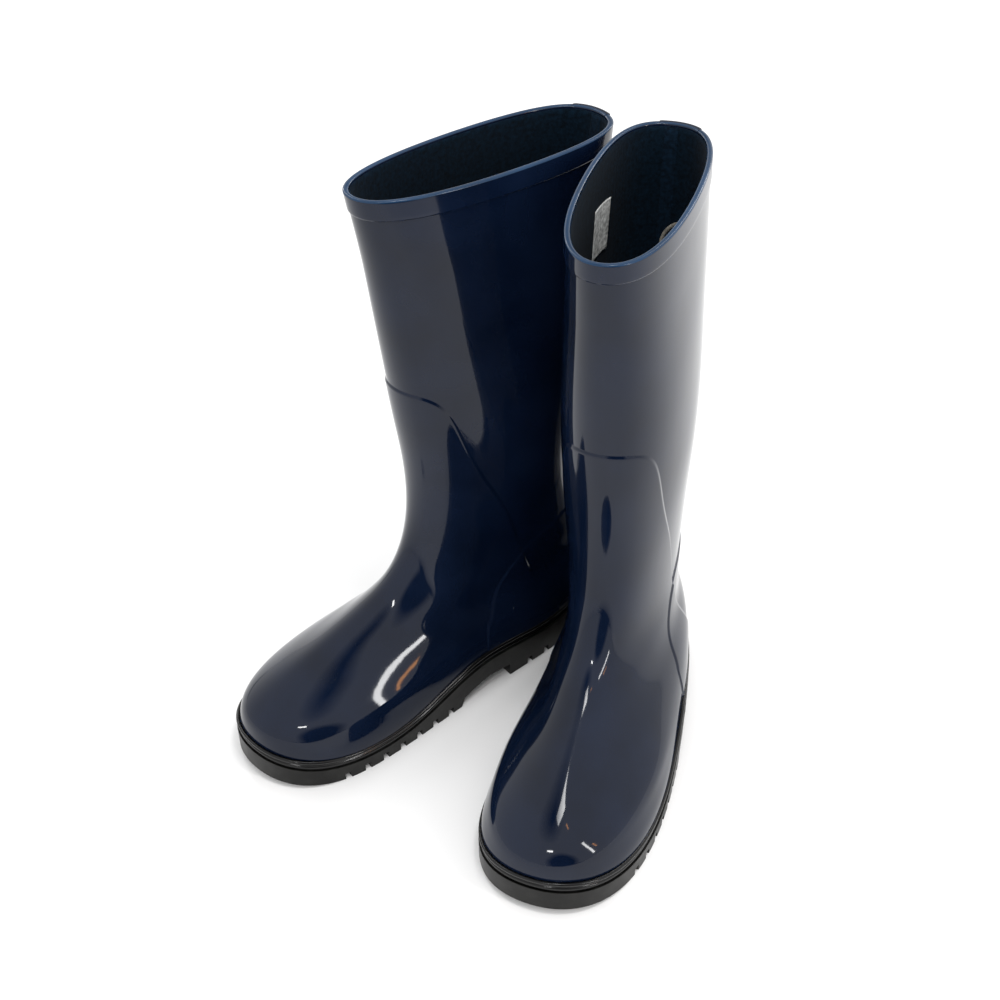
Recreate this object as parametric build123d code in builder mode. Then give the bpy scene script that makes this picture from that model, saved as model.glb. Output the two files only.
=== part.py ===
"""A pair of tall rubber deck boots, standing side by side with the toes turned apart.

Every piece is drawn for the left boot in that boot's own frame: the origin on the ground under
the back of the heel, +Y to the toe, +Z up and +X to the inner side of the foot. The right boot
is its mirror image, and save() stands each copy in its place.
"""
from build123d import *
import math
import os

os.makedirs("parts", exist_ok=True)

# ---- Driving dimensions (mm) ----
BOOT_HEIGHT = 378
UPPER_WALL = 2.2
OVERLAY = 0.9
HEEL_OVERLAY = 1.8
CUFF = 1.0
CUFF_HEIGHT = 13
CUFF_LAP = 1.8
STIFFENER_DEPTH = 1.2
LINING = 0.8
SEAM_TAPE = 0.5
LABEL = 0.4
TAG = 0.8
TAG_RADIUS = 17

FOXING_HEIGHT = 8
FOXING_GROWTH = 0.6
SOLE_GROWTH = 1.8
LUG_GAP = 4.5
LUG_WIDTH = 15
GROOVE_TOP = 5
FIELD_TOP = 3.5
LUG_PITCH = 14.5
FIRST_NOTCH = 142
NOTCHES = 7
HEEL_LENGTH = 86
HEEL_TOP = 10
HEEL_NOTCHES = (35, 51, 67)

BOARD = 2.0
FOOTBED = 4.0
FOOTBED_GAP = 2.4
FOOTBED_LIFT = 0.3
SHANK_WIDTH = 14
SHANK_THICKNESS = 1.2

TAGGED_BOOT = "left"
WIDE = 90
BALL = 130

# ---- Where the two boots stand: the ball of the foot and the way the toe points ----
PAIR_SHIFT = (24.0, 35.1)
STANCE = {"left": ((61.6, -50.3), -107.5), "right": ((-54.7, 21.3), -142.3)}

# ---- Rings around the leg and foot, from the sole up to the rim ----
# back (y, z), front (y, z), half widths (heel, rear, waist, ball, toe), inward swing
RINGS = (
    ((6, 2), (258, 0), (49, 45, 25, 77, 54), 1.0),
    ((0, 31), (271.5, 22), (50, 47, 28, 79, 56), 1.0),
    ((-8, 51), (265, 43), (45, 44, 33, 62, 43), 0.9),
    ((-10, 70), (236, 60), (34, 37, 35, 40, 24), 0.7),
    ((-8, 89), (194, 76), (31, 36, 37, 29, 15), 0.4),
    ((-1, 108), (158, 94), (31, 37, 38, 28, 16), 0.2),
    ((6, 131), (138, 123), (32, 38, 39, 31, 20), 0.1),
    ((9, 163), (132, 167), (35, 40, 41, 36, 25), 0.0),
    ((5, 204), (137, 212), (36, 43, 43, 40, 28), 0.0),
    ((-6, 262), (144, 266), (37, 41, 40, 41, 31), 0.0),
    ((-14, 320), (152, 323), (36, 38, 37, 38, 30), 0.0),
    ((-23, 386), (163, 386), (33, 35, 33, 35, 28), 0.0),
)
STATIONS = (0, 0, 0.2, 0.48, 0.74, 1, 1)
SWING = (0, 0, -1, -23, 4, 4, 0)

# ---- Side-view curves (y, z) ----
FEATHER = ((-30, 36), (0, 34), (56, 30), (112, 33), (169, 20), (220, 19), (268, 27), (300, 37))
FLOOR = ((-30, 29), (0, 28), (56, 25), (105, 23), (165, 14), (220, 13), (268, 19), (300, 26))
POCKET = ((-30, 14.5), (56, 14.5), (105, 16.5), (150, 11), (220, 9), (268, 14.5), (300, 19))
ARCH = ((-30, 10), (86, 10), (106, 12), (129, 7), (132, 0), (216, 0))
TOE_SPRING = (300, 12)
VAMP_EDGE = ((175, 247), (141, 246), (128, 241), (118, 228), (106, 196), (92, 165), (76, 130),
             (64, 92), (50, 58), (30, 20))
HEEL_EDGE = ((-40, 122), (-8, 119), (26, 114), (46, 107), (66, 98), (81, 84), (92, 69), (100, 55),
             (105, 42), (108, 15))
STIFFENER_EDGE = ((-40, 88), (0, 86), (34, 78), (56, 58), (66, 40), (70, 10))
PUFF_EDGE = ((300, 120), (235, 85), (219, 60), (215, 40), (217, 0))


def ring_plane(back, front):
    """Return the plane of a ring: its origin at the ring's back, its Y along the foot."""
    along = Vector(0, front[0] - back[0], front[1] - back[1])
    return Plane(origin=(0, *back), x_dir=(1, 0, 0), z_dir=Vector(1, 0, 0).cross(along))


def outline(length, widths, swing, inset):
    """Draw a foot-shaped closed outline that runs from y 0 to length, as two curves."""
    half_widths = (0, *(width - inset for width in widths), 0)
    for edge in (1, -1):
        points = []
        for station, half_width, shift in zip(STATIONS, half_widths, SWING):
            y = inset + (length - 2 * inset) * station
            points.append((swing * shift + edge * half_width, y))
        Bezier(*points)


def body(inset):
    """Return the closed body of the boot's outside, moved in by inset on every side."""
    with BuildPart() as solid:
        for back, front, widths, swing in RINGS:
            length = math.hypot(front[0] - back[0], front[1] - back[1])
            with BuildSketch(ring_plane(back, front)):
                with BuildLine():
                    outline(length, widths, swing, inset)
                make_face()
        loft()
    return solid.part


def sole_prism(growth, bottom, top):
    """Return an upright block with the plan of the sole, grown by growth."""
    with BuildPart() as block:
        with BuildSketch(Plane(origin=(0, -1, bottom))):
            with BuildLine():
                outline(274, (51, 48, 29, 80, 57), 1.0, -growth)
            make_face()
        extrude(amount=top - bottom)
    return block.part


def raised(curve, height):
    """Return a side-view curve moved up by height."""
    return [(y, z + height) for y, z in curve]


def between(low, high):
    """Return the slab between two side-view curves."""
    with BuildPart() as slab:
        with BuildSketch(Plane.YZ):
            with BuildLine():
                lower = Spline(*low)
                upper = Spline(*high)
                Line(lower @ 0, upper @ 0)
                Line(lower @ 1, upper @ 1)
            make_face()
        extrude(amount=WIDE, both=True)
    return slab.part


def zone(edge, corners):
    """Return what lies between a side-view edge and the corners that close it."""
    with BuildPart() as slab:
        with BuildSketch(Plane.YZ):
            with BuildLine():
                border = Spline(*edge)
                Polyline(border @ 1, *corners, border @ 0)
            make_face()
        extrude(amount=WIDE, both=True)
    return slab.part


def above(low, height):
    """Return all that is above a side-view curve, up to height."""
    return zone(low, [(low[-1][0], height), (low[0][0], height)])


def block(centre, size):
    """Return a box by its centre and size."""
    with BuildPart(Plane(origin=centre)) as box:
        Box(*size)
    return box.part


def save(piece, name, boots=("left", "right")):
    """Stand a finished piece in its boots, label it and write it."""
    for boot in boots:
        ball, heading = STANCE[boot]
        forward = Vector(math.cos(math.radians(heading)), math.sin(math.radians(heading)))
        heel = Vector(ball[0] + PAIR_SHIFT[0], ball[1] + PAIR_SHIFT[1]) - forward * BALL
        stance = Plane(origin=heel, x_dir=(forward.Y, -forward.X, 0), z_dir=(0, 0, 1))
        drawn = piece.part if boot == "left" else piece.part.mirror(Plane.YZ)
        with BuildPart(stance) as standing:
            add(drawn)
        standing.part.label = f"{boot}_{name}"
        export_step(standing.part, f"parts/{boot}_{name}.step")


# ---- The boot's outside and the surfaces of its layers, as closed bodies ----
outside = body(0)
inner_wall = body(UPPER_WALL)
inner_lining = body(UPPER_WALL + LINING)
rim = [(-60, BOOT_HEIGHT), (300, BOOT_HEIGHT)]
board_bottom = raised(FLOOR, -BOARD)
sock_top = raised(FLOOR, LINING)
above_feather = above(FEATHER, BOOT_HEIGHT)
above_floor = above(FLOOR, BOOT_HEIGHT)
cuff_zone = above(raised(rim, -CUFF_HEIGHT), BOOT_HEIGHT)

# ---- Stiffeners, in pockets on the inside of the upper's wall ----
with BuildPart() as toe_puff:
    add(body(UPPER_WALL - STIFFENER_DEPTH))
    add(above_floor, mode=Mode.INTERSECT)
    add(zone(PUFF_EDGE, [(320, 0), (320, 120)]), mode=Mode.INTERSECT)
    add(inner_wall, mode=Mode.SUBTRACT)
save(toe_puff, "toe_puff")

with BuildPart() as heel_stiffener:
    add(body(UPPER_WALL - STIFFENER_DEPTH))
    add(above_floor, mode=Mode.INTERSECT)
    add(zone(STIFFENER_EDGE, [(-40, 10)]), mode=Mode.INTERSECT)
    add(inner_wall, mode=Mode.SUBTRACT)
save(heel_stiffener, "heel_stiffener")

# ---- Upper and the rubber panels on it ----
with BuildPart() as upper:
    add(outside)
    add(above(board_bottom, BOOT_HEIGHT), mode=Mode.INTERSECT)
    add(inner_wall, mode=Mode.SUBTRACT)
    add(toe_puff.part, mode=Mode.SUBTRACT)
    add(heel_stiffener.part, mode=Mode.SUBTRACT)
save(upper, "upper")

with BuildPart() as vamp_overlay:
    add(body(-OVERLAY))
    add(above_feather, mode=Mode.INTERSECT)
    add(zone(VAMP_EDGE, [(30, 0), (320, 0), (320, 247)]), mode=Mode.INTERSECT)
    add(outside, mode=Mode.SUBTRACT)
save(vamp_overlay, "vamp_overlay")

with BuildPart() as heel_overlay:
    add(body(-HEEL_OVERLAY))
    add(above_feather, mode=Mode.INTERSECT)
    add(zone(HEEL_EDGE, [(-40, 15)]), mode=Mode.INTERSECT)
    add(outside, mode=Mode.SUBTRACT)
    add(vamp_overlay.part, mode=Mode.SUBTRACT)
save(heel_overlay, "heel_overlay")

with BuildPart() as cuff_band:
    add(body(-CUFF))
    add(cuff_zone, mode=Mode.INTERSECT)
    add(outside, mode=Mode.SUBTRACT)
save(cuff_band, "cuff_band")

with BuildPart() as cuff_lap:
    add(body(-CUFF_LAP))
    add(cuff_zone, mode=Mode.INTERSECT)
    add(block((-5, -20, BOOT_HEIGHT), (26, 30, 60)), mode=Mode.INTERSECT)
    add(body(-CUFF), mode=Mode.SUBTRACT)
save(cuff_lap, "cuff_lap")

# ---- Lining and what is fixed to it ----
with BuildPart() as lining_space:
    add(inner_lining)
    add(above(sock_top, BOOT_HEIGHT + 5), mode=Mode.INTERSECT)

with BuildPart() as lining:
    add(inner_wall)
    add(above_floor, mode=Mode.INTERSECT)
    add(lining_space.part, mode=Mode.SUBTRACT)
save(lining, "lining")

with BuildPart() as lining_seam_tape:
    add(inner_lining)
    add(above(raised(rim, -190), BOOT_HEIGHT), mode=Mode.INTERSECT)
    add(block((0, -10, 300), (9, 60, 400)), mode=Mode.INTERSECT)
    add(body(UPPER_WALL + LINING + SEAM_TAPE), mode=Mode.SUBTRACT)
save(lining_seam_tape, "lining_seam_tape")

with BuildPart() as size_label:
    add(inner_lining)
    add(block((32, 29, 328), (40, 24, 34)), mode=Mode.INTERSECT)
    add(body(UPPER_WALL + LINING + LABEL), mode=Mode.SUBTRACT)
save(size_label, "size_label")

with BuildPart(Plane(origin=(-15, -20, 303), z_dir=(0, 1, 0))) as tag_disc:
    Cylinder(TAG_RADIUS, 60)

with BuildPart() as round_tag:
    add(inner_lining)
    add(tag_disc.part, mode=Mode.INTERSECT)
    add(body(UPPER_WALL + LINING + TAG), mode=Mode.SUBTRACT)
    add(lining_seam_tape.part, mode=Mode.SUBTRACT)
save(round_tag, "round_tag", boots=(TAGGED_BOOT,))

# ---- Under the foot ----
with BuildPart() as insole_board:
    add(inner_wall)
    add(between(board_bottom, FLOOR), mode=Mode.INTERSECT)
save(insole_board, "insole_board")

with BuildPart() as footbed:
    add(body(UPPER_WALL + LINING + FOOTBED_GAP))
    add(between(raised(sock_top, FOOTBED_LIFT), raised(sock_top, FOOTBED_LIFT + FOOTBED)),
        mode=Mode.INTERSECT)
save(footbed, "footbed")

with BuildPart() as shank:
    add(block((0, 85, 20), (SHANK_WIDTH, 110, 40)))
    add(between(raised(board_bottom, -SHANK_THICKNESS), board_bottom), mode=Mode.INTERSECT)
save(shank, "shank")

with BuildPart() as midsole_filler:
    add(outside)
    add(between(POCKET, board_bottom), mode=Mode.INTERSECT)
    add(shank.part, mode=Mode.SUBTRACT)
save(midsole_filler, "midsole_filler")

# ---- Sole ----
with BuildPart() as foxing_band:
    add(sole_prism(FOXING_GROWTH, 0, 60))
    add(between(raised(FEATHER, -FOXING_HEIGHT), FEATHER), mode=Mode.INTERSECT)
    add(outside, mode=Mode.SUBTRACT)
save(foxing_band, "foxing_band")

with BuildPart() as sole_profile:
    with BuildSketch(Plane.YZ):
        with BuildLine():
            foxing_line = Spline(*raised(FEATHER, -FOXING_HEIGHT))
            Polyline(foxing_line @ 0, *ARCH)
            toe_spring = TangentArc(ARCH[-1], TOE_SPRING, tangent=(1, 0))
            Line(toe_spring @ 1, foxing_line @ 1)
        make_face()
    extrude(amount=WIDE, both=True)

with BuildPart() as sole_pocket:
    add(outside)
    add(above(POCKET, BOOT_HEIGHT), mode=Mode.INTERSECT)

with BuildPart() as outsole:
    add(sole_prism(SOLE_GROWTH, -1, 60))
    add(sole_profile.part, mode=Mode.INTERSECT)
    add(sole_pocket.part, mode=Mode.SUBTRACT)
    for notch in range(NOTCHES):
        notch_y = FIRST_NOTCH + notch * LUG_PITCH
        add(block((0, notch_y, 0), (2 * WIDE, LUG_GAP, 2 * GROOVE_TOP)), mode=Mode.SUBTRACT)
    add(sole_prism(-LUG_WIDTH, -5, FIELD_TOP) & block((0, 180, 0), (2 * WIDE, 90, 20)),
        mode=Mode.SUBTRACT)
save(outsole, "outsole")

with BuildPart() as heel_block:
    add(sole_prism(SOLE_GROWTH, 0, HEEL_TOP))
    add(block((0, HEEL_LENGTH / 2 - 10, 5), (2 * WIDE, HEEL_LENGTH + 20, 20)), mode=Mode.INTERSECT)
    for notch_y in HEEL_NOTCHES:
        for notch_x in (40, -40):
            add(block((notch_x, notch_y, 0), (28, LUG_GAP, 2 * GROOVE_TOP)), mode=Mode.SUBTRACT)
    add(block((-2, 42, 0), (24, 46, 6)), mode=Mode.SUBTRACT)
save(heel_block, "heel_block")
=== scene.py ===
"""Looks of a pair of glossy rubber deck boots, built around their CAD frame."""
import math

import bpy
import numpy as np
from mathutils import Matrix, Vector


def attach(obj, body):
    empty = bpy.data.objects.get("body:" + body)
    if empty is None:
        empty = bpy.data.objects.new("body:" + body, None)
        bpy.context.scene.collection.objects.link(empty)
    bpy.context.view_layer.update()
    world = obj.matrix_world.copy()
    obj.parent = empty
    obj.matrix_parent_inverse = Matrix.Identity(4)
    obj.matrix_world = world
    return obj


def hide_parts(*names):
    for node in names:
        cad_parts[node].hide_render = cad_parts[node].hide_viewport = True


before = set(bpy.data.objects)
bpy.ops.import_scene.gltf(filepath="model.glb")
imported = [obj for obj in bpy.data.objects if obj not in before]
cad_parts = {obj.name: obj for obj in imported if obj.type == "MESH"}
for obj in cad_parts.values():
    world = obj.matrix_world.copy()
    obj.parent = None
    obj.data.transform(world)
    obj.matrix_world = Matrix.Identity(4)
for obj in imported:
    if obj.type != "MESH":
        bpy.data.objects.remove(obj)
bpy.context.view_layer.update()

MM = 0.001

# ---- Driving dimensions, as in the CAD (mm) ----
BOOT_HEIGHT = 378
UPPER_WALL = 2.2
LINING = 0.8
OVERLAY = 0.9
FOOTBED = 4.0
FOOTBED_GAP = 2.4
FOOTBED_LIFT = 0.3
CUFF = 1.0
CUFF_HEIGHT = 13
CUFF_LAP = 1.8
BOARD = 2.0
FOXING_HEIGHT = 8
HEEL_LEAN = 0.45
LAP_X = (-18, 8)
TAPE_HALF_WIDTH = 4.5
TAPE_FOOT = 188.5
TAG_CENTRE = (-15, 303)
TAG_RADIUS = 17
LABEL_Y = (17, 41)
LABEL_Z = (311, 345)
BALL = 130
PAIR_SHIFT = (24.0, 35.1)
STANCE = {"left": ((61.6, -50.3), -107.5), "right": ((-54.7, 21.3), -142.3)}

# back (y, z), front (y, z), half widths (heel, rear, waist, ball, toe), inward swing
RINGS = (
    ((6, 2), (258, 0), (49, 45, 25, 77, 54), 1.0),
    ((0, 31), (271.5, 22), (50, 47, 28, 79, 56), 1.0),
    ((-8, 51), (265, 43), (45, 44, 33, 62, 43), 0.9),
    ((-10, 70), (236, 60), (34, 37, 35, 40, 24), 0.7),
    ((-8, 89), (194, 76), (31, 36, 37, 29, 15), 0.4),
    ((-1, 108), (158, 94), (31, 37, 38, 28, 16), 0.2),
    ((6, 131), (138, 123), (32, 38, 39, 31, 20), 0.1),
    ((9, 163), (132, 167), (35, 40, 41, 36, 25), 0.0),
    ((5, 204), (137, 212), (36, 43, 43, 40, 28), 0.0),
    ((-6, 262), (144, 266), (37, 41, 40, 41, 31), 0.0),
    ((-14, 320), (152, 323), (36, 38, 37, 38, 30), 0.0),
    ((-23, 386), (163, 386), (33, 35, 33, 35, 28), 0.0),
)
SOLE_RING = ((-1, 0), (273, 0), (51, 48, 29, 80, 57), 1.0)
STATIONS = (0, 0, 0.2, 0.48, 0.74, 1, 1)
SWING = (0, 0, -1, -23, 4, 4, 0)

# ---- Sizes of the visual pieces only (mm) ----
WAVE_HEIGHT = 0.22
TOE_RIDGE = 1.9
TOE_RIDGE_HEIGHT = 42
EDGE_WIDTH = 2.6
PANEL_DEPTH = 0.4
FACE_GAP = 0.1
FOXING_BEAD = 1.5
LIP = 0.88
TAG_FACE = 0.62
LABEL_CURL = 1.6

# ---- Side-view curves (y, z), mm ----
FEATHER = ((-30, 36), (0, 34), (56, 30), (112, 33), (169, 20), (220, 19), (268, 27), (300, 37))
FLOOR = ((-30, 29), (0, 28), (56, 25), (105, 23), (165, 14), (220, 13), (268, 19), (300, 26))
VAMP_EDGE = ((30, 20), (50, 58), (64, 92), (76, 130), (92, 165), (106, 196), (118, 228),
             (128, 241), (141, 246), (175, 247))
HEEL_EDGE = ((-40, 122), (-8, 119), (26, 114), (46, 107), (66, 98), (81, 84), (92, 69), (100, 55),
             (105, 42), (108, 15))


# ---------------------------------------------------------------- curves and surfaces
def natural_spline(knots, values):
    """Return a function that runs a smooth cubic curve through the values at the knots."""
    x = np.asarray(knots, float)
    y = np.asarray(values, float).reshape(len(x), -1)
    h = np.diff(x)
    n = len(x)
    a = np.zeros((n, n))
    b = np.zeros_like(y)
    a[0, 0] = a[-1, -1] = 1
    for i in range(1, n - 1):
        a[i, i - 1:i + 2] = h[i - 1], 2 * (h[i - 1] + h[i]), h[i]
        b[i] = 6 * ((y[i + 1] - y[i]) / h[i] - (y[i] - y[i - 1]) / h[i - 1])
    bend = np.linalg.solve(a, b)

    def at(t):
        t = np.asarray(t, float)
        flat = t.ravel()
        i = np.clip(np.searchsorted(x, flat) - 1, 0, n - 2)
        left = (x[i + 1] - flat)[:, None]
        right = (flat - x[i])[:, None]
        step = h[i][:, None]
        value = (bend[i] * left ** 3 + bend[i + 1] * right ** 3) / (6 * step)
        value += (y[i] / step - bend[i] * step / 6) * left
        value += (y[i + 1] / step - bend[i + 1] * step / 6) * right
        return value.reshape(*t.shape, -1) if y.shape[1] > 1 else value.reshape(t.shape)

    return at


def side_curve(points):
    """Return z as a function of y along a side-view curve."""
    return natural_spline([p[0] for p in points], [p[1] for p in points])


feather_z = side_curve(FEATHER)
floor_z = side_curve(FLOOR)
vamp_z = side_curve(VAMP_EDGE)
heel_z = side_curve(HEEL_EDGE)


def flatten(ring):
    """Return a ring's numbers as one row."""
    back, front, widths, swing = ring
    return [*back, *front, *widths, swing]


RING_ROWS = np.array([flatten(ring) for ring in RINGS], float)
STEPS = np.hypot(np.diff(RING_ROWS[:, [0, 2]], axis=0), np.diff(RING_ROWS[:, [1, 3]], axis=0))
RING_KNOTS = np.concatenate([[0], np.cumsum(STEPS.mean(axis=1))])
ring_at = natural_spline(RING_KNOTS, RING_ROWS)


def bernstein(t):
    """Return the seven degree-6 Bezier weights at t."""
    t = np.asarray(t, float)[..., None]
    i = np.arange(7)
    return np.array([math.comb(6, k) for k in i]) * t ** i * (1 - t) ** (6 - i)


def join_sides(t):
    """Return the columns of both sides for one list of parameters from 0 to 1."""
    side = np.concatenate([np.ones(len(t)), -np.ones(len(t) - 2)])
    return np.concatenate([t, t[-2:0:-1]]), side


def ring_points(rows, t, side, inset):
    """Return the points of rings (..., 10) at parameters t, moved in by inset."""
    weights = bernstein(t)
    half = np.einsum("...k,...k->...", weights[..., 1:6], rows[..., 4:9])
    half = half - inset * weights[..., 1:6].sum(-1)
    centre = rows[..., 9] * (weights @ np.array(SWING, float))
    station = weights @ np.array(STATIONS, float)
    run = rows[..., 2:4] - rows[..., 0:2]
    length = np.hypot(run[..., 0], run[..., 1])
    along = inset + (length - 2 * inset) * station
    y = rows[..., 0] + run[..., 0] / length * along
    z = rows[..., 1] + run[..., 1] / length * along
    return np.stack([centre + side * half, y, z], axis=-1)


def waviness(points):
    """Return a faint unevenness of moulded rubber, in mm, that is 0 near the sole and rim."""
    x, y, z = points[..., 0], points[..., 1], points[..., 2]
    wave = np.sin(x / 31 + z / 47 + 1.3) * np.sin(y / 39 - z / 29 + 0.4)
    wave += 0.6 * np.sin(y / 17 + z / 61) * np.sin(z / 23 + x / 19 + 2.1)
    fade = np.clip((z - 95) / 60, 0, 1) * np.clip((360 - z) / 30, 0, 1)
    return WAVE_HEIGHT * wave * fade


def toe_ridge(points, t):
    """Return the fullness, in mm, of the ridge where the toe's flat top turns into its steep wall."""
    z = points[..., 2]
    along = np.clip((t - 0.5) / 0.16, 0, 1)
    return TOE_RIDGE * along * along * (3 - 2 * along) * np.exp(-(((z - TOE_RIDGE_HEIGHT) / 7.5) ** 2))


def skin(s, t, side, height):
    """Return points at height (mm) above the boot's outside, at ring parameters s."""
    rows = ring_at(s)
    base = ring_points(rows, t, side, np.zeros_like(s))
    return ring_points(rows, t, side, -height - waviness(base) - toe_ridge(base, t))


SAMPLES = np.linspace(0, RING_KNOTS[-1], 900)
PER_SIDE = 150
AROUND_T, AROUND_SIDE = join_sides(np.linspace(0, 1, PER_SIDE + 1))


def level(z):
    """Return a limit at a constant height."""
    return lambda y: np.full_like(y, z)


def raised(curve, height):
    """Return a side-view curve moved up by height."""
    return lambda y: curve(y) + height


def leaned(t, lean, s):
    """Return parameters t carried forward by lean as the ring parameter s rises."""
    return np.minimum(t * (1 + lean * s / 100), 1)


def line_points(s, t, side, lean, inset):
    """Return points of lines that lean forward by lean as they rise."""
    return ring_points(ring_at(s), leaned(t, lean, s), side, inset)


AROUND_GRID = line_points(SAMPLES[:, None] + 0 * AROUND_T, AROUND_T, AROUND_SIDE, 0.0, 0.0)


def crossing(limit, t=AROUND_T, side=AROUND_SIDE, lean=0.0, inset=0.0):
    """Return, for each line, the ring parameter where it first rises above limit(y)."""
    if t is AROUND_T and inset == 0:
        points = AROUND_GRID
    else:
        points = line_points(SAMPLES[:, None] + 0 * t, t, side, lean, inset)
    over = points[..., 2] - limit(points[..., 1])
    first = np.clip(np.argmax(over > 0, axis=0), 1, len(SAMPLES) - 1)
    first = np.where(over.max(axis=0) > 0, first, len(SAMPLES) - 1)
    column = np.arange(len(t))
    low, high = over[first - 1, column], over[first, column]
    part = np.clip(-low / np.where(high == low, 1, high - low), 0, 1)
    return SAMPLES[first - 1] + part * (SAMPLES[first] - SAMPLES[first - 1])


# ---------------------------------------------------------------- mesh helpers
def standing(points, boot):
    """Return boot-frame points (mm) as row-frame points (m)."""
    ball, heading = STANCE[boot]
    forward = np.array([math.cos(math.radians(heading)), math.sin(math.radians(heading))])
    across = np.array([forward[1], -forward[0]])
    mirror = 1 if boot == "left" else -1
    heel = np.array(ball) + np.array(PAIR_SHIFT) - forward * BALL
    flat = heel + points[..., :1] * mirror * across + points[..., 1:2] * forward
    return np.concatenate([flat, points[..., 2:3]], axis=-1) * MM


def add_mesh(name, vertices, faces, material, body, flip=False):
    """Make a smooth mesh object that rides on a body."""
    mesh = bpy.data.meshes.new(name)
    if flip:
        faces = [face[::-1] for face in faces]
    mesh.from_pydata([tuple(v) for v in vertices], [], faces)
    mesh.polygons.foreach_set("use_smooth", [True] * len(mesh.polygons))
    mesh.materials.append(material)
    mesh.update()
    thing = bpy.data.objects.new(name, mesh)
    bpy.context.scene.collection.objects.link(thing)
    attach(thing, body)
    return thing


def grid_faces(rows, count, closed, start=0):
    """Return the quads of a grid of rows by count points."""
    faces = []
    last = count if closed else count - 1
    for i in range(rows - 1):
        for j in range(last):
            a = start + i * count + j
            b = start + i * count + (j + 1) % count
            faces.append((a, b, b + count, a + count))
    return faces


def tube_faces(rows, count, around=True):
    """Return the faces of a grid whose last row joins its first, round a boot or across a patch."""
    faces = grid_faces(rows, count, around)
    last = (rows - 1) * count
    for j in range(count if around else count - 1):
        k = (j + 1) % count
        faces.append((last + j, last + k, k, j))
    return faces


def moved(faces, below, shift):
    """Return faces with every index of below or more raised by shift."""
    return [tuple(i if i < below else i + shift for i in face) for face in faces]


def cap(ring, start, steps, flip=False):
    """Return points and faces that fill a ring, from each column straight across to its partner."""
    half = len(ring) // 2
    points, faces = [], []
    first = start + len(ring)
    rows = {}
    for i in range(1, half):
        across = [ring[i] + (ring[-i] - ring[i]) * k / steps for k in range(1, steps)]
        rows[i] = [start + i, *range(first + len(points), first + len(points) + steps - 1)]
        rows[i].append(start + len(ring) - i)
        points += across
    for i in range(1, half - 1):
        for k in range(steps):
            faces.append((rows[i][k], rows[i][k + 1], rows[i + 1][k + 1], rows[i + 1][k]))
    for k in range(steps):
        faces.append((start, rows[1][k + 1], rows[1][k]))
        faces.append((start + half, rows[half - 1][k], rows[half - 1][k + 1]))
    return points, [face[::-1] for face in faces] if flip else faces


def both_boots(name, points, faces, material, node, boots=("left", "right"), body="boot"):
    """Make a piece in the boots from boot-frame points, standing for its CAD node."""
    made = []
    for boot in boots:
        piece = add_mesh(f"{boot}_{name}", standing(points, boot), faces, material,
                         f"{boot}_{body}", flip=boot == "right")
        if node:
            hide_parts(f"{boot}_{node}")
        made.append(piece)
    return made


def quarter_round(distance, radius):
    """Return 0 to 1: the height of a rounded edge at a distance inside it."""
    x = np.clip(distance / radius, 0, 1)
    return np.sqrt(np.clip(1 - (1 - x) ** 2, 0, 1))


def soft_step(distance, width):
    """Return 0 to 1: the height of a softly moulded step at a distance inside its edge."""
    x = np.clip(distance / width, 0, 1)
    return x * x * (3 - 2 * x)


def across_edge(edge, y, z):
    """Return how far a side-view point is below an edge, square to it."""
    slope = edge(y + 0.5) - edge(y - 0.5)
    return (edge(y) - z) / np.sqrt(1 + slope ** 2)


# ---------------------------------------------------------------- materials
def new_material(name, colour, roughness):
    """Return a material, its node tree and its Principled shader."""
    material = bpy.data.materials.new(name)
    material.use_nodes = True
    tree = material.node_tree
    shader = tree.nodes["Principled BSDF"]
    shader.inputs["Base Color"].default_value = (*colour, 1)
    shader.inputs["Roughness"].default_value = roughness
    return material, tree, shader


def noise(tree, scale, detail=2.0, stretch=None):
    """Return the output of a noise texture in object coordinates."""
    place = tree.nodes.new("ShaderNodeTexCoord")
    texture = tree.nodes.new("ShaderNodeTexNoise")
    texture.inputs["Scale"].default_value = scale
    texture.inputs["Detail"].default_value = detail
    source = place.outputs["Object"]
    if stretch:
        mapping = tree.nodes.new("ShaderNodeMapping")
        mapping.inputs["Scale"].default_value = stretch
        tree.links.new(source, mapping.inputs["Vector"])
        source = mapping.outputs["Vector"]
    tree.links.new(source, texture.inputs["Vector"])
    return texture.outputs["Fac"]


def ramp(tree, value, stops):
    """Return a colour ramp's colour for a value; stops are (position, grey or colour)."""
    node = tree.nodes.new("ShaderNodeValToRGB")
    elements = node.color_ramp.elements
    while len(elements) < len(stops):
        elements.new(0.5)
    for element, (position, colour) in zip(elements, stops):
        element.position = position
        if not isinstance(colour, tuple):
            colour = (colour,) * 3
        element.color = (*colour, 1)
    tree.links.new(value, node.inputs["Fac"])
    return node.outputs["Color"]


def bump(tree, shader, heights):
    """Chain bumps: heights are (socket, strength, distance in metres)."""
    normal = None
    for value, strength, distance in heights:
        node = tree.nodes.new("ShaderNodeBump")
        node.inputs["Strength"].default_value = strength
        node.inputs["Distance"].default_value = distance
        tree.links.new(value, node.inputs["Height"])
        if normal is not None:
            tree.links.new(normal, node.inputs["Normal"])
        normal = node.outputs["Normal"]
    tree.links.new(normal, shader.inputs["Normal"])


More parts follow.
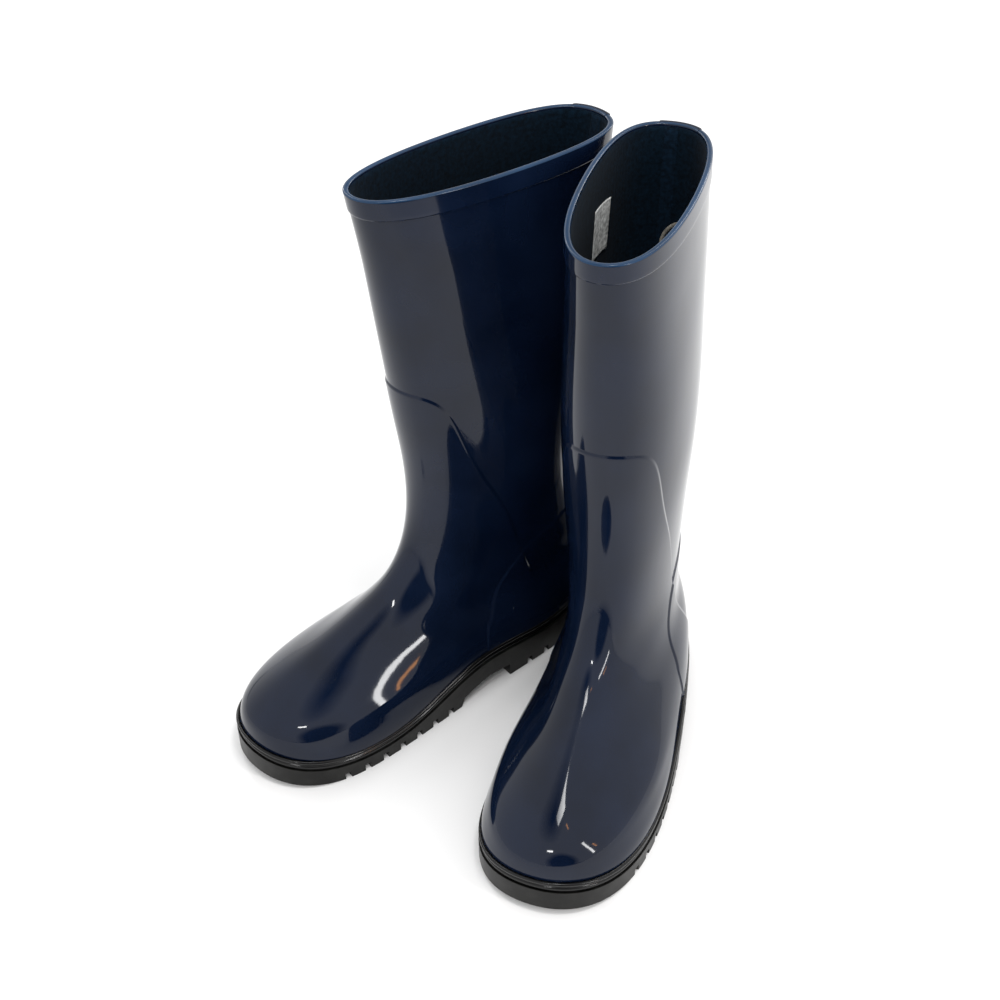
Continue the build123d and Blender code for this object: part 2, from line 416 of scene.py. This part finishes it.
def gloss_rubber(name, colour, roughness, dust=0.04):
    """Glossy moulded rubber: deep colour, faint mottling, orange peel and light dust specks."""
    material, tree, shader = new_material(name, colour, roughness)
    shader.inputs["IOR"].default_value = 1.5
    shader.inputs["Specular IOR Level"].default_value = 0.32
    dark = tuple(c * 0.8 for c in colour)
    light = tuple(min(c * 1.25 + 0.001, 1) for c in colour)
    mottle = ramp(tree, noise(tree, 22, 4), [(0.35, dark), (0.65, light)])
    tree.links.new(mottle, shader.inputs["Base Color"])
    smear = ramp(tree, noise(tree, 14, 5, (1, 1, 0.35)), [(0.4, roughness), (0.75, roughness + dust)])
    tree.links.new(smear, shader.inputs["Roughness"])
    bump(tree, shader, [(noise(tree, 900, 2), 0.06, 0.00004), (noise(tree, 60, 2), 0.25, 0.00012)])
    return material


def sole_rubber(name, colour, roughness):
    """Satin black rubber with a fine grain and scuffs."""
    material, tree, shader = new_material(name, colour, roughness)
    shader.inputs["Specular IOR Level"].default_value = 0.22
    scuffed = tuple(c * 2.6 + 0.004 for c in colour)
    scuffs = ramp(tree, noise(tree, 120, 6), [(0.45, colour), (0.8, scuffed)])
    tree.links.new(scuffs, shader.inputs["Base Color"])
    wear = ramp(tree, noise(tree, 45, 4), [(0.3, roughness), (0.8, roughness + 0.18)])
    tree.links.new(wear, shader.inputs["Roughness"])
    bump(tree, shader, [(noise(tree, 1400, 3), 0.15, 0.00005)])
    return material


def knit(name, colour, rib=900.0):
    """Fine knitted cloth: ribs along Z crossed by courses, with a soft sheen."""
    material, tree, shader = new_material(name, colour, 0.95)
    shader.inputs["Sheen Weight"].default_value = 0.02
    shader.inputs["Specular IOR Level"].default_value = 0.06
    shader.inputs["Sheen Roughness"].default_value = 0.6
    place = tree.nodes.new("ShaderNodeTexCoord")
    heights = []
    for direction, size in (("Z", rib * 0.8), ("X", rib), ("Y", rib)):
        wave = tree.nodes.new("ShaderNodeTexWave")
        wave.bands_direction = direction
        wave.inputs["Scale"].default_value = size / 6
        wave.inputs["Distortion"].default_value = 1.2
        wave.inputs["Detail Scale"].default_value = 2.0
        tree.links.new(place.outputs["Object"], wave.inputs["Vector"])
        heights.append((wave.outputs["Fac"], 0.22, 0.00012))
    heights.append((noise(tree, 900, 3), 0.8, 0.0003))
    bump(tree, shader, heights)
    light = tuple(min(c * 1.7, 1) for c in colour)
    dark = tuple(c * 0.55 for c in colour)
    tone = ramp(tree, noise(tree, 420, 5), [(0.3, dark), (0.7, light)])
    tree.links.new(tone, shader.inputs["Base Color"])
    return material


def grained(name, colour, roughness, scale, metallic=0.0):
    """A plain grained solid for boards, foam, steel and felt."""
    material, tree, shader = new_material(name, colour, roughness)
    shader.inputs["Metallic"].default_value = metallic
    dark = tuple(c * 0.75 for c in colour)
    light = tuple(min(c * 1.2, 1) for c in colour)
    tone = ramp(tree, noise(tree, scale, 5), [(0.3, dark), (0.7, light)])
    tree.links.new(tone, shader.inputs["Base Color"])
    bump(tree, shader, [(noise(tree, scale * 2, 3), 0.4, 0.0001)])
    return material


navy = gloss_rubber("navy_gloss_rubber", (0.002, 0.0056, 0.0175), 0.045)
cuff_navy = gloss_rubber("navy_cuff_rubber", (0.0025, 0.0068, 0.021), 0.08)
# lighter blue for the rolled rim: partly the rubber's cut edge, partly a painted highlight of the
# glossy edge
rim_edge_and_painted_highlight = gloss_rubber("navy_rim_edge_painted_highlight", (0.006, 0.03, 0.075), 0.2)
foxing_black = gloss_rubber("foxing_gloss_black", (0.003, 0.003, 0.0032), 0.13)
sole_black = sole_rubber("sole_satin_black", (0.0035, 0.0035, 0.003), 0.3)
lining_knit = knit("lining_knit", (0.0012, 0.0055, 0.0115))
tape_knit = knit("lining_tape", (0.002, 0.0075, 0.016), 1500.0)
label_cloth = knit("label_cloth", (0.52, 0.53, 0.52), 2600.0)
footbed_cloth = knit("footbed_cloth", (0.03, 0.034, 0.05), 1200.0)
tag_dark = grained("tag_dark", (0.02, 0.022, 0.025), 0.35, 300)
tag_pale = grained("tag_pale_edge", (0.3, 0.28, 0.24), 0.45, 400)
board_fibre = grained("board_fibre", (0.36, 0.25, 0.14), 0.9, 260)
steel = grained("shank_steel", (0.5, 0.51, 0.53), 0.35, 800, 1.0)
sponge = grained("filler_sponge", (0.06, 0.06, 0.06), 0.95, 600)
canvas = grained("stiffener_canvas", (0.3, 0.28, 0.24), 0.9, 900)

# ---------------------------------------------------------------- rubber pieces
ZERO = np.zeros_like(AROUND_T)


def round_rows(heights):
    """Return rows of points round the boot, from (limit, height) pairs."""
    rows = []
    for limit, height in heights:
        s = crossing(limit)
        rows.append(skin(s, AROUND_T, AROUND_SIDE, ZERO + height))
    return np.array(rows)


def make_upper():
    """The rubber shaft and foot: one wall from the insole board to just under the rim."""
    low = crossing(raised(floor_z, -BOARD))
    high = crossing(level(BOOT_HEIGHT - 1.2))
    share = np.linspace(0, 1, 260)[:, None]
    s = low + share * (high - low)
    outside = skin(s, AROUND_T, AROUND_SIDE, np.zeros_like(s))
    s = s[::-3]
    inside = skin(s, AROUND_T, AROUND_SIDE, np.full_like(s, -UPPER_WALL))
    points = np.concatenate([outside, inside])
    faces = tube_faces(*points.shape[:2])
    both_boots("upper_shell", points.reshape(-1, 3), faces, navy, "upper")


EDGE_ROWS = np.array([0, 0.1, 0.25, 0.45, 0.7, 1.0, 1.3, 1.7, 2.1, 2.6, 3.4])[:, None]


def panel(name, node, edge, starts, lean, thickness, under=None):
    """A rubber panel from the feather line up to a side-view edge, rounded over at that edge."""
    t, side = starts
    low = crossing(raised(feather_z, -1.0), t, side, lean)
    high = crossing(edge, t, side, lean)
    high = np.maximum(high, low + 0.02)
    step = 0.4
    before = line_points(high - step, t, side, lean, 0)
    drop = np.clip(across_edge(edge, before[..., 1], before[..., 2]) / step, 0.12, 1.2)
    near = np.maximum(high - EDGE_ROWS / drop, low + (high - low) * 0.4 * (1 - EDGE_ROWS / 4))
    near = np.minimum(near, high)
    share = np.linspace(0, 1, 130)[1:, None]
    s = np.concatenate([near, near[-1:] + share * (low - near[-1:])])[::-1]
    base = line_points(s, t, side, lean, 0)
    y, z = base[..., 1], base[..., 2]
    height = thickness * soft_step(across_edge(edge, y, z), EDGE_WIDTH) - 0.03
    if under is not None:
        height = height + OVERLAY * soft_step(across_edge(under, y, z) + 0.4, EDGE_WIDTH)
    leaning = leaned(t, lean, s)
    outer = skin(s, leaning, side, height)
    back = slice(None, None, -6)
    inner = skin(s[back], leaning[back], side, np.full_like(s[back], -PANEL_DEPTH))
    points = np.concatenate([outer, inner])
    faces = tube_faces(*points.shape[:2], around=False)
    both_boots(name, points.reshape(-1, 3), faces, navy, node)


def first_start(edge, lean, low_t, high_t):
    """Return the start parameter where a panel's edge meets the feather line."""
    t = np.linspace(low_t, high_t, 400)
    low = line_points(crossing(feather_z, t, 1.0, lean), t, 1.0, lean, 0)
    over = edge(low[..., 1]) - low[..., 2]
    change = np.argmax(np.diff(np.sign(over)) != 0)
    return t[change]


def make_panels():
    """The vamp panel over the toe and the heel panel over its ends."""
    start = first_start(vamp_z, 0.0, 0.1, 0.4)
    t = np.linspace(start, 1, 190)
    toe = np.concatenate([t, t[-2::-1]])
    sides = np.concatenate([np.ones(len(t)), -np.ones(len(t) - 1)])
    panel("vamp_panel", "vamp_overlay", vamp_z, (toe, sides), 0.0, OVERLAY)
    end = first_start(heel_z, HEEL_LEAN, 0.25, 0.5)
    t = end * np.concatenate([np.linspace(0, 0.7, 90)[:-1], np.linspace(0.7, 1, 90)])
    heel = np.concatenate([t[::-1], t[1:]])
    sides = np.concatenate([-np.ones(len(t)), np.ones(len(t) - 1)])
    panel("heel_panel", "heel_overlay", heel_z, (heel, sides), HEEL_LEAN, OVERLAY, vamp_z)


RIM_STEPS = 15
BAND_ROWS = 10


def rim_profile(cuff, top):
    """Return (height above the ground, height above the skin) pairs up the cuff and over the rim."""
    bottom = BOOT_HEIGHT - CUFF_HEIGHT
    rows = [(bottom - 0.1, -0.3), (bottom - 0.1, 0.1 * cuff), (bottom, 0.45 * cuff)]
    rows += [(bottom + 0.3, 0.75 * cuff), (bottom + 0.75, 0.95 * cuff)]
    rows += [(bottom + step, cuff) for step in (1.2, 3, 6, 9, 11.0)]
    middle = (cuff - UPPER_WALL - 0.4) / 2
    half = (cuff + UPPER_WALL + 0.4) / 2
    for angle in np.linspace(0, math.pi, RIM_STEPS):
        lift = math.copysign(abs(math.sin(angle)) ** 0.8, math.sin(angle))
        turn = math.copysign(abs(math.cos(angle)) ** 0.8, math.cos(angle))
        rows.append((top - 1.5 + 1.5 * lift, middle + half * turn))
    rows += [(top - 3, -UPPER_WALL - 0.2), (top - 5, -UPPER_WALL + 0.6)]
    return rows


def make_cuff():
    """The raised band round the top with the rounded rim that caps the wall; the rim rows take a
    lighter blue that is partly the rubber's cut edge and partly a painted highlight.
    """
    profile = rim_profile(CUFF, BOOT_HEIGHT - 0.2)
    points = round_rows([(level(z), height) for z, height in profile])
    count = points.shape[1]
    faces = tube_faces(*points.shape[:2])
    for piece in both_boots("cuff_band_rim", points.reshape(-1, 3), faces, cuff_navy, "cuff_band"):
        piece.data.materials.append(rim_edge_and_painted_highlight)
        # the rolled rim rows get the lighter blue: partly the cut edge's colour, partly a painted
        # highlight
        rim_rows = range(BAND_ROWS + 1, BAND_ROWS + RIM_STEPS - 3)
        for polygon in piece.data.polygons:
            if polygon.index // count in rim_rows:
                polygon.material_index = 1


def back_patch(name, node, material, xs, profile, extra, boots=("left", "right")):
    """A patch on the wall near the back seam: columns at x, rows from (z, height) pairs."""
    order = np.argsort(AROUND_T * AROUND_SIDE)
    turn = (AROUND_T * AROUND_SIDE)[order]
    rows = []
    for z, height in profile:
        s = crossing(level(z))
        ring = skin(s, AROUND_T, AROUND_SIDE, ZERO)[order]
        near = np.abs(turn) < 0.3
        at = np.interp(xs, ring[near, 0], turn[near])
        rows.append(skin(np.interp(at, turn, s[order]), np.abs(at), np.where(at < 0, -1.0, 1.0),
                         height + extra))
    points = np.array(rows)
    faces = tube_faces(*points.shape[:2], around=False)
    return both_boots(name, points.reshape(-1, 3), faces, material, node, boots)


def make_lap():
    """The overlap of the cuff band at the back seam, with rounded ends."""
    low, high = LAP_X
    ends = np.array([0, 0.1, 0.3, 0.6, 1.0, 1.6])
    xs = np.concatenate([low + ends, np.linspace(low + 2.4, high - 2.4, 18), high - ends[::-1]])
    inside = np.minimum(xs - low, high - xs)
    extra = (CUFF_LAP - CUFF + 0.2) * quarter_round(inside, 1.2) - 0.15
    profile = rim_profile(CUFF, BOOT_HEIGHT)
    back_patch("cuff_lap_end", "cuff_lap", cuff_navy, xs, profile, extra)


# ---------------------------------------------------------------- lining and footbed
def make_lining():
    """The knit sock: walls from the rim down to the footbed, and the sock's floor."""
    low = crossing(raised(floor_z, LINING), inset=UPPER_WALL + LINING)
    high = crossing(level(BOOT_HEIGHT - 2.2))
    share = np.linspace(0, 1, 150)[:, None]
    s = high + share * (low - high)
    inner = skin(s, AROUND_T, AROUND_SIDE, np.full_like(s, -UPPER_WALL - LINING))
    top = skin(s[:1], AROUND_T, AROUND_SIDE, np.full_like(s[:1], -UPPER_WALL - FACE_GAP))
    s = s[::-6]
    outer = skin(s, AROUND_T, AROUND_SIDE, np.full_like(s, -UPPER_WALL - FACE_GAP))
    rows = np.concatenate([top, inner])
    count = rows.shape[1]
    points = rows.reshape(-1, 3)
    faces = grid_faces(rows.shape[0], count, True)
    filling, more = cap(points[-count:], len(points) - count, 24, flip=True)
    points = np.concatenate([points, filling])
    faces += more
    start = len(points)
    points = np.concatenate([points, outer.reshape(-1, 3)])
    faces += grid_faces(outer.shape[0], count, True, start)
    last = start + (outer.shape[0] - 1) * count
    faces += [(last + j, last + (j + 1) % count, (j + 1) % count, j) for j in range(count)]
    filling, more = cap(points[start:start + count], start, 24)
    more = moved(more, start + count, len(points) - start - count)
    points = np.concatenate([points, filling])
    faces += more
    faces = [face[::-1] for face in faces]
    both_boots("knit_lining", points, faces, lining_knit, "lining")


def make_footbed():
    """The cloth-topped foam footbed with soft edges, its top following the floor line."""
    inset = UPPER_WALL + LINING + FOOTBED_GAP
    rows = []
    bottom = LINING + FOOTBED_LIFT
    for lift, pull in ((0, 0.6), (0.3, 0.15), (0.8, 0), (2.6, 0), (3.3, 0.25), (3.8, 0.8), (4, 1.6)):
        s = crossing(raised(floor_z, bottom + lift), inset=inset)
        points = ring_points(ring_at(s), AROUND_T, AROUND_SIDE, inset + pull)
        points[:, 2] = floor_z(points[:, 1]) + bottom + lift
        rows.append(points)
    rows = np.array(rows)
    count = rows.shape[1]
    points = rows.reshape(-1, 3)
    faces = grid_faces(rows.shape[0], count, True)
    filling, more = cap(points[-count:], len(points) - count, 26, flip=False)
    filling = np.array(filling)
    filling[:, 2] = floor_z(filling[:, 1]) + bottom + FOOTBED
    points = np.concatenate([points, filling])
    faces += more
    filling, below = cap(points[:count], 0, 26, flip=True)
    filling = np.array(filling)
    filling[:, 2] = floor_z(filling[:, 1]) + bottom
    below = moved(below, count, len(points) - count)
    points = np.concatenate([points, filling])
    faces += below
    for piece in both_boots("foam_footbed", points, faces, footbed_cloth, "footbed",
                            body="footbed"):
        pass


def make_tape():
    """The knit tape over the lining's back seam, with its crowned middle."""
    xs = np.linspace(-TAPE_HALF_WIDTH, TAPE_HALF_WIDTH, 13)
    extra = -0.45 * quarter_round(TAPE_HALF_WIDTH - np.abs(xs), 0.9)
    lining = -UPPER_WALL - LINING
    top = BOOT_HEIGHT - 3
    profile = [(z, lining) for z in np.linspace(TAPE_FOOT, top, 60)]
    profile += [(z, lining + 0.7) for z in np.linspace(top, TAPE_FOOT, 12)]
    back_patch("seam_tape", "lining_seam_tape", tape_knit, xs, profile, extra)


def make_tag():
    """The round tag on the lining beside the back seam: a dark disc with a pale raised edge."""
    depth = -UPPER_WALL - LINING
    middle_x, middle_z = TAG_CENTRE
    heights = np.linspace(middle_z - TAG_RADIUS - 1, middle_z + TAG_RADIUS + 1, 40)
    order = np.argsort(AROUND_T * AROUND_SIDE)
    turn = (AROUND_T * AROUND_SIDE)[order]
    near = (turn > -0.28) & (turn < 0.2)
    turns, params = [], []
    xs = np.linspace(-33, 8, 60)
    for z in heights:
        s = crossing(level(z))
        ring = skin(s, AROUND_T, AROUND_SIDE, ZERO + depth)[order][near]
        rising = np.maximum.accumulate(ring[:, 0])
        at = np.interp(xs, rising, turn[near])
        turns.append(at)
        params.append(np.interp(at, turn, s[order]))
    turns, params = np.array(turns), np.array(params)

    def on_wall(x, z, lift):
        """Return the point at x, z on the lining, raised by lift."""
        row = np.interp(z, heights, np.arange(len(heights)))
        column = np.interp(x, xs, np.arange(len(xs)))
        i, j = int(min(row, len(heights) - 2)), int(min(column, len(xs) - 2))
        a, b = row - i, column - j
        mix = np.array([(1 - a) * (1 - b), (1 - a) * b, a * (1 - b), a * b])
        spots = ((i, j), (i, j + 1), (i + 1, j), (i + 1, j + 1))
        at = sum(m * turns[spot] for m, spot in zip(mix, spots))
        s = sum(m * params[spot] for m, spot in zip(mix, spots))
        height = np.array([depth - lift])
        return skin(np.array([s]), np.array([abs(at)]), np.sign(at) or 1.0, height)[0]

    rings = ((5.0, TAG_FACE), (10.0, TAG_FACE), (14.6, TAG_FACE), (15.0, 0.68), (15.3, 0.95),
             (15.8, 1.1), (16.4, 1.1), (16.8, 0.95), (TAG_RADIUS, 0.6), (TAG_RADIUS, 0.1))
    count = 64
    points = [on_wall(middle_x, middle_z, TAG_FACE)]
    for radius, lift in rings:
        for k in range(count):
            angle = 2 * math.pi * k / count
            points.append(on_wall(middle_x + radius * math.cos(angle),
                                  middle_z + radius * math.sin(angle), lift))
    faces = [(0, 1 + (k + 1) % count, 1 + k) for k in range(count)]
    faces += [face[::-1] for face in grid_faces(len(rings), count, True, 1)]
    piece = both_boots("tag_disc", np.array(points), faces, tag_dark, "round_tag",
                       boots=("left",))[0]
    piece.data.materials.append(tag_pale)
    for polygon in piece.data.polygons:
        if polygon.index >= count * 4:
            polygon.material_index = 1


def sole_rows(profile):
    """Return rows round the sole's plan from (height above the feather line, growth) pairs."""
    ring = np.array(flatten(SOLE_RING), float) + np.zeros((len(AROUND_T), 1))
    rows = []
    for lift, growth in profile:
        points = ring_points(ring, AROUND_T, AROUND_SIDE, -growth)
        points[:, 2] = feather_z(points[:, 1]) + lift
        rows.append(points)
    return np.array(rows)


def make_foxing():
    """The glossy foxing strip: a round bead over a groove and a flat band."""
    profile = [(-0.6, -3.0), (-0.3, -1.0)]
    for angle in np.linspace(math.radians(130), math.radians(-70), 12):
        lift = FOXING_BEAD * math.sin(angle) - FOXING_BEAD
        profile.append((lift, 0.25 + FOXING_BEAD * math.cos(angle)))
    profile += [(-3.4, -0.25), (-3.8, -0.45), (-4.2, -0.3), (-4.6, 0.3), (-4.9, 0.6), (-5.4, 0.8)]
    profile += [(-6.4, 0.85), (-7.2, 0.8), (-7.6, 0.5), (-7.8, 0)]
    profile += [(-FOXING_HEIGHT, -0.9), (-FOXING_HEIGHT, -3.0)]
    points = sole_rows(profile[::-1])
    faces = tube_faces(*points.shape[:2])
    both_boots("foxing_strip", points.reshape(-1, 3), faces, foxing_black, "foxing_band")


def make_sole_lip():
    """The rounded lip on the outsole's upper edge."""
    profile = []
    for angle in np.linspace(0, 2 * math.pi, 15)[:-1]:
        lift = -FOXING_HEIGHT - 0.85 + LIP * math.sin(angle)
        profile.append((lift, 0.97 + LIP * math.cos(angle)))
    points = sole_rows(profile[::-1])
    faces = tube_faces(*points.shape[:2])
    both_boots("sole_lip", points.reshape(-1, 3), faces, sole_black, None)


def make_label():
    """The blank woven label on the inner side of the lining, its free edge curling off the wall."""
    depth = -UPPER_WALL - LINING
    free_y, fixed_y = LABEL_Y
    low_z, high_z = LABEL_Z
    ys = np.linspace(free_y, fixed_y, 20)
    side = AROUND_SIDE > 0
    fronts, backs = [], []
    for z in np.linspace(low_z, high_z, 26):
        s = crossing(level(z))[side]
        ring = skin(s, AROUND_T[side], 1.0, np.zeros_like(s))
        at = np.interp(ys, ring[:, 1], AROUND_T[side])
        sr = np.interp(at, AROUND_T[side], s)
        rise = (z - low_z) / (high_z - low_z)
        curl = LABEL_CURL * ((fixed_y - ys) / (fixed_y - free_y)) ** 3 * (0.4 + 0.6 * rise)
        fronts.append(skin(sr, at, 1.0, depth - 0.38 - curl))
        backs.append(skin(sr, at, 1.0, depth - 0.05 - curl))
    fronts, backs = np.array(fronts), np.array(backs)
    count = len(ys)
    points = np.concatenate([fronts.reshape(-1, 3), backs.reshape(-1, 3)])
    start = len(fronts) * count
    faces = [face[::-1] for face in grid_faces(len(fronts), count, False)]
    faces += grid_faces(len(backs), count, False, start)
    rim = list(range(count)) + [i * count + count - 1 for i in range(1, len(fronts))]
    rim += [start - 1 - j for j in range(1, count)]
    rim += [i * count for i in range(len(fronts) - 2, 0, -1)]
    for a, b in zip(rim, rim[1:] + rim[:1]):
        faces.append((a, b, b + start, a + start))
    for piece in both_boots("blank_label", points, faces, label_cloth, "size_label"):
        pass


make_upper()
make_panels()
make_cuff()
make_lap()
make_lining()
make_footbed()
make_tape()
make_label()
make_tag()
make_foxing()
make_sole_lip()

NODE_LOOKS = {"toe_puff": canvas, "heel_stiffener": canvas, "insole_board": board_fibre,
              "shank": steel, "midsole_filler": sponge, "outsole": sole_black,
              "heel_block": sole_black}
for name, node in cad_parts.items():
    look = NODE_LOOKS.get(name.split("_", 1)[1])
    if look:
        for place in node.material_slots:
            place.material = look

# ---------------------------------------------------------------- camera, light, floor
CAMERA_DISTANCE = 935
CAMERA_PITCH = math.radians(37.42)
CAMERA_ROLL = math.radians(-1.0)
CAMERA_AIM_HEIGHT = 168
CAMERA_LENS = 53.23
SENSOR_WIDTH = 36
WORLD_STRENGTH = 1.1
LAMP_DISTANCE = 1.6
BOOTS_MIDDLE = Vector((0, -0.05, 0.1))
CARD_SHADE = 0.02
WARM = (1, 0.42, 0.12)

# name, azimuth and elevation (degrees), width and height (m), brightness against white, colour
LAMPS = (
    ("strip_right_front", 57, 24, (0.06, 1.0), 26, (1, 1, 1)),
    ("lamp_top", 40, 76, (0.34, 0.22), 26, (1, 1, 1)),
    ("strip_back_left", -152, 36, (0.09, 1.1), 9, (1, 1, 1)),
    ("strip_back_right", 138, 30, (0.09, 1.1), 9, (1, 1, 1)),
    ("flash_front", -8, 49, (0.26, 0.08), 40, (1, 1, 1)),
    ("warm_right", 63, 24, (0.03, 0.3), 12, WARM),
    ("warm_high", 50, 62, (0.03, 0.12), 12, WARM),
)

# name, size (m), softness of the border, centre (m), turn (degrees, axis)
CARDS = (
    ("card_back", (2.2, 1.0), 0.9, (0.1, 1.5, 1.15), (62, "X")),
    ("card_floor_back", (0.8, 2.4), 0.6, (0.35, 1.9, 0.004), (0, "Z")),
    ("card_floor_side", (0.6, 1.8), 0.6, (-1.2, 1.1, 0.004), (45, "Z")),
    ("card_over_boot", (0.4, 0.4), 0.9, (0, -0.2, 0.56), (0, "Z")),
    ("card_floor_front", (2.2, 3.0), 0.5, (0.35, -1.9, 0.004), (0, "Z")),
    ("card_front", (1.0, 1.5), 0.4, (0.25, -0.95, 0.3), (90, "X")),
)


def make_camera():
    """The camera looks down at the pair from the front."""
    data = bpy.data.cameras.new("camera")
    data.lens = CAMERA_LENS
    data.sensor_width = SENSOR_WIDTH
    data.clip_start = 0.01
    camera = bpy.data.objects.new("camera", data)
    forward = Vector((0, math.cos(CAMERA_PITCH), -math.sin(CAMERA_PITCH)))
    right = Vector((1, 0, 0))
    up = right.cross(forward)
    across = right * math.cos(CAMERA_ROLL) + up * math.sin(CAMERA_ROLL)
    upward = up * math.cos(CAMERA_ROLL) - right * math.sin(CAMERA_ROLL)
    aim = Vector((PAIR_SHIFT[0], PAIR_SHIFT[1], CAMERA_AIM_HEIGHT)) * MM
    turn = Matrix((across, upward, -forward)).transposed()
    camera.matrix_world = Matrix.Translation(aim - forward * CAMERA_DISTANCE * MM) @ turn.to_4x4()
    bpy.context.scene.collection.objects.link(camera)
    bpy.context.scene.camera = camera


def make_floor():
    """A plain pale floor."""
    bpy.ops.mesh.primitive_plane_add(size=8, location=(0, 0, -0.0002))
    floor = bpy.context.object
    floor.name = "floor"
    material, _, shader = new_material("floor_white", (0.9, 0.9, 0.9), 0.8)
    shader.inputs["Specular IOR Level"].default_value = 0.1
    floor.data.materials.append(material)


def make_world():
    """A soft white studio."""
    world = bpy.data.worlds.new("studio")
    bpy.context.scene.world = world
    world.use_nodes = True
    background = world.node_tree.nodes["Background"]
    background.inputs["Color"].default_value = (1, 1, 1, 1)
    background.inputs["Strength"].default_value = WORLD_STRENGTH


def towards(azimuth, elevation):
    """Return the direction at an azimuth, from the front towards the right, and an elevation."""
    a, e = math.radians(azimuth), math.radians(elevation)
    return Vector((math.sin(a) * math.cos(e), -math.cos(a) * math.cos(e), math.sin(e)))


def make_lamp(name, azimuth, elevation, size, brightness, colour):
    """A soft box that faces the boots and whose glow shows in the rubber."""
    data = bpy.data.lights.new(name, "AREA")
    data.shape = "RECTANGLE"
    data.size, data.size_y = size
    data.energy = brightness * math.pi * size[0] * size[1]
    data.color = colour
    lamp = bpy.data.objects.new(name, data)
    bpy.context.scene.collection.objects.link(lamp)
    way = towards(azimuth, elevation)
    turn = way.to_track_quat("Z", "Y").to_matrix().to_4x4()
    lamp.matrix_world = Matrix.Translation(BOOTS_MIDDLE + way * LAMP_DISTANCE) @ turn


def make_card(name, size, soft, centre, turn):
    """A dark card with a faded border that only shows as a reflection in the gloss."""
    mesh = bpy.data.meshes.new(name)
    x, y = size[0] / 2, size[1] / 2
    mesh.from_pydata([(-x, -y, 0), (x, -y, 0), (x, y, 0), (-x, y, 0)], [], [(0, 1, 2, 3)])
    material, tree, shader = new_material(name, (CARD_SHADE,) * 3, 1.0)
    shader.inputs["Specular IOR Level"].default_value = 0.0
    place = tree.nodes.new("ShaderNodeTexCoord")
    mapping = tree.nodes.new("ShaderNodeMapping")
    mapping.inputs["Scale"].default_value = (1 / x, 1 / y, 1)
    gradient = tree.nodes.new("ShaderNodeTexGradient")
    gradient.gradient_type = "SPHERICAL"
    tree.links.new(place.outputs["Object"], mapping.inputs["Vector"])
    tree.links.new(mapping.outputs["Vector"], gradient.inputs["Vector"])
    fade = ramp(tree, gradient.outputs["Fac"], [(0, 0), (soft, 1)])
    tree.links.new(fade, shader.inputs["Alpha"])
    mesh.materials.append(material)
    card = bpy.data.objects.new(name, mesh)
    bpy.context.scene.collection.objects.link(card)
    card.visible_camera = card.visible_diffuse = card.visible_shadow = False
    degrees, axis = turn
    card.matrix_world = Matrix.Translation(centre) @ Matrix.Rotation(math.radians(degrees), 4, axis)


for lamp_values in LAMPS:
    make_lamp(*lamp_values)
for card_values in CARDS:
    make_card(*card_values)

bpy.context.scene.view_settings.view_transform = "Standard"
make_camera()
make_floor()
make_world()
